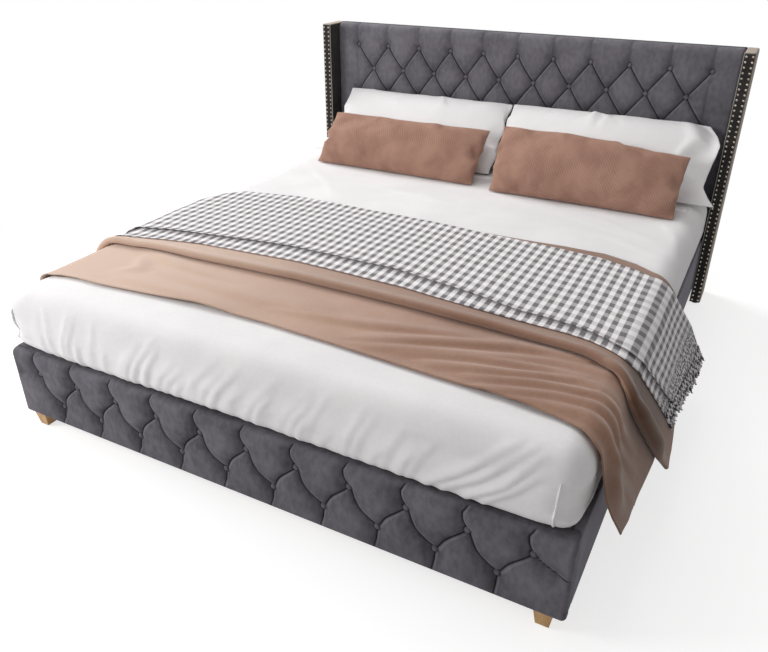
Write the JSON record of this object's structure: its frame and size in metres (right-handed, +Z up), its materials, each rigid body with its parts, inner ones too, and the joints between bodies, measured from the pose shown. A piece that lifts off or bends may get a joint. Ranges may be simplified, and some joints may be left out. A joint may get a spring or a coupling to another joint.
{
  "type": "upholstered bed",
  "caption": "King bed with tufted wing headboard, tufted footboard, padded rails, slatted base and mattress with layered bedding, pillows and cushions.",
  "frame": {"origin": "bottom centre of the bed's box, on the floor", "axes": "+X across the bed to the right seen from the foot, +Y from foot to head, +Z up"},
  "size_m": [2.1116, 2.1824, 1.075],
  "materials": {
    "headboard_velvet": "cut velvet, deep tufted",
    "footboard_velvet": "cut velvet, tufted",
    "rail_velvet": "plain velvet over foam",
    "wing_velvet": "dark velvet over foam",
    "piping": "fabric welt cord",
    "nail_pewter": "antique pewter, domed",
    "back_cloth": "non-woven dust cloth",
    "plywood": "poplar plywood, raw",
    "timber": "planed pine, raw",
    "slat_wood": "planed birch",
    "golden_wood": "clear satin lacquer",
    "black_steel": "black powder coat",
    "zinc_bolt": "zinc plated",
    "black_plastic": "moulded, fine grain",
    "felt": "pressed felt",
    "webbing": "woven webbing",
    "ticking": "knitted mattress cover",
    "white_cotton": "fine cotton percale",
    "pillow_cotton": "fine cotton percale",
    "tan_blanket": "soft brushed blanket",
    "gingham": "woven check, white and greys",
    "fringe_yarn": "twisted yarn",
    "tan_corduroy": "fine corduroy"
  },
  "bodies": {
    "bed_frame": {"beam_hangers": "black_steel", "bracket_bolts": "zinc_bolt", "centre_beam": "black_steel", "centre_leg_bolts": "zinc_bolt", "centre_leg_front": "black_steel", "centre_leg_inserts": "black_plastic", "centre_leg_middle": "black_steel", "centre_leg_rear": "black_steel", "corner_brackets_foot": "black_steel", "corner_brackets_head": "black_steel", "footboard_buttons": "footboard_velvet", "footboard_core": "timber", "footboard_pad": "footboard_velvet", "footboard_wrap": "rail_velvet", "hanger_bolts": "zinc_bolt", "headboard_back_cover": "back_cloth", "headboard_board": "plywood", "headboard_buttons": "headboard_velvet", "headboard_crossrails": "timber", "headboard_pad": "headboard_velvet", "headboard_stiles": "timber", "ledge_screws": "zinc_bolt", "leg_bolts": "zinc_bolt", "leg_glides": "felt", "leg_left": "golden_wood", "leg_right": "golden_wood", "rail_core_left": "timber", "rail_core_right": "timber", "rail_cover_left": "rail_velvet", "rail_cover_right": "rail_velvet", "slat_ledge_left": "timber", "slat_ledge_right": "timber", "slat_straps": "webbing", "slats": "slat_wood", "wing_bolts": "zinc_bolt", "wing_core_left": "timber", "wing_core_right": "timber", "wing_cover_left": "wing_velvet", "wing_cover_right": "wing_velvet", "wing_glides": "black_plastic", "wing_nails_left": "nail_pewter", "wing_nails_right": "nail_pewter", "wing_piping_left": "piping", "wing_piping_right": "piping"},
    "dressed_mattress": {"mattress": "ticking", "white_bedding": "white_cotton", "tan_blanket": "tan_blanket", "gingham_throw": "gingham", "throw_fringe": "fringe_yarn"},
    "pillow_left": {"pillow_left": "pillow_cotton"},
    "pillow_right": {"pillow_right": "pillow_cotton"},
    "cushion_left": {"cushion_left": "tan_corduroy"},
    "cushion_right": {"cushion_right": "tan_corduroy"},
    "levelling_foot_front": {"levelling_foot_front": "black_plastic"},
    "levelling_foot_middle": {"levelling_foot_middle": "black_plastic"},
    "levelling_foot_rear": {"levelling_foot_rear": "black_plastic"}
  },
  "joints": [
    {"name": "mattress_lift", "type": "slide", "parent": "bed_frame", "child": "dressed_mattress", "axis": [0, 0, 1], "range_m": [0, 0.3]},
    {"name": "pillow_left_lift", "type": "slide", "parent": "dressed_mattress", "child": "pillow_left", "axis": [0, 0, 1], "range_m": [0, 0.25]},
    {"name": "cushion_left_lift", "type": "slide", "parent": "pillow_left", "child": "cushion_left", "axis": [0, 0, 1], "range_m": [0, 0.25]},
    {"name": "pillow_right_lift", "type": "slide", "parent": "dressed_mattress", "child": "pillow_right", "axis": [0, 0, 1], "range_m": [0, 0.25]},
    {"name": "cushion_right_lift", "type": "slide", "parent": "pillow_right", "child": "cushion_right", "axis": [0, 0, 1], "range_m": [0, 0.25]},
    {"name": "level_front_screw", "type": "slide", "parent": "bed_frame", "child": "levelling_foot_front", "axis": [0, 0, -1], "range_m": [0, 0.012]},
    {"name": "level_middle_screw", "type": "slide", "parent": "bed_frame", "child": "levelling_foot_middle", "axis": [0, 0, -1], "range_m": [0, 0.012]},
    {"name": "level_rear_screw", "type": "slide", "parent": "bed_frame", "child": "levelling_foot_rear", "axis": [0, 0, -1], "range_m": [0, 0.012]}
  ]
}
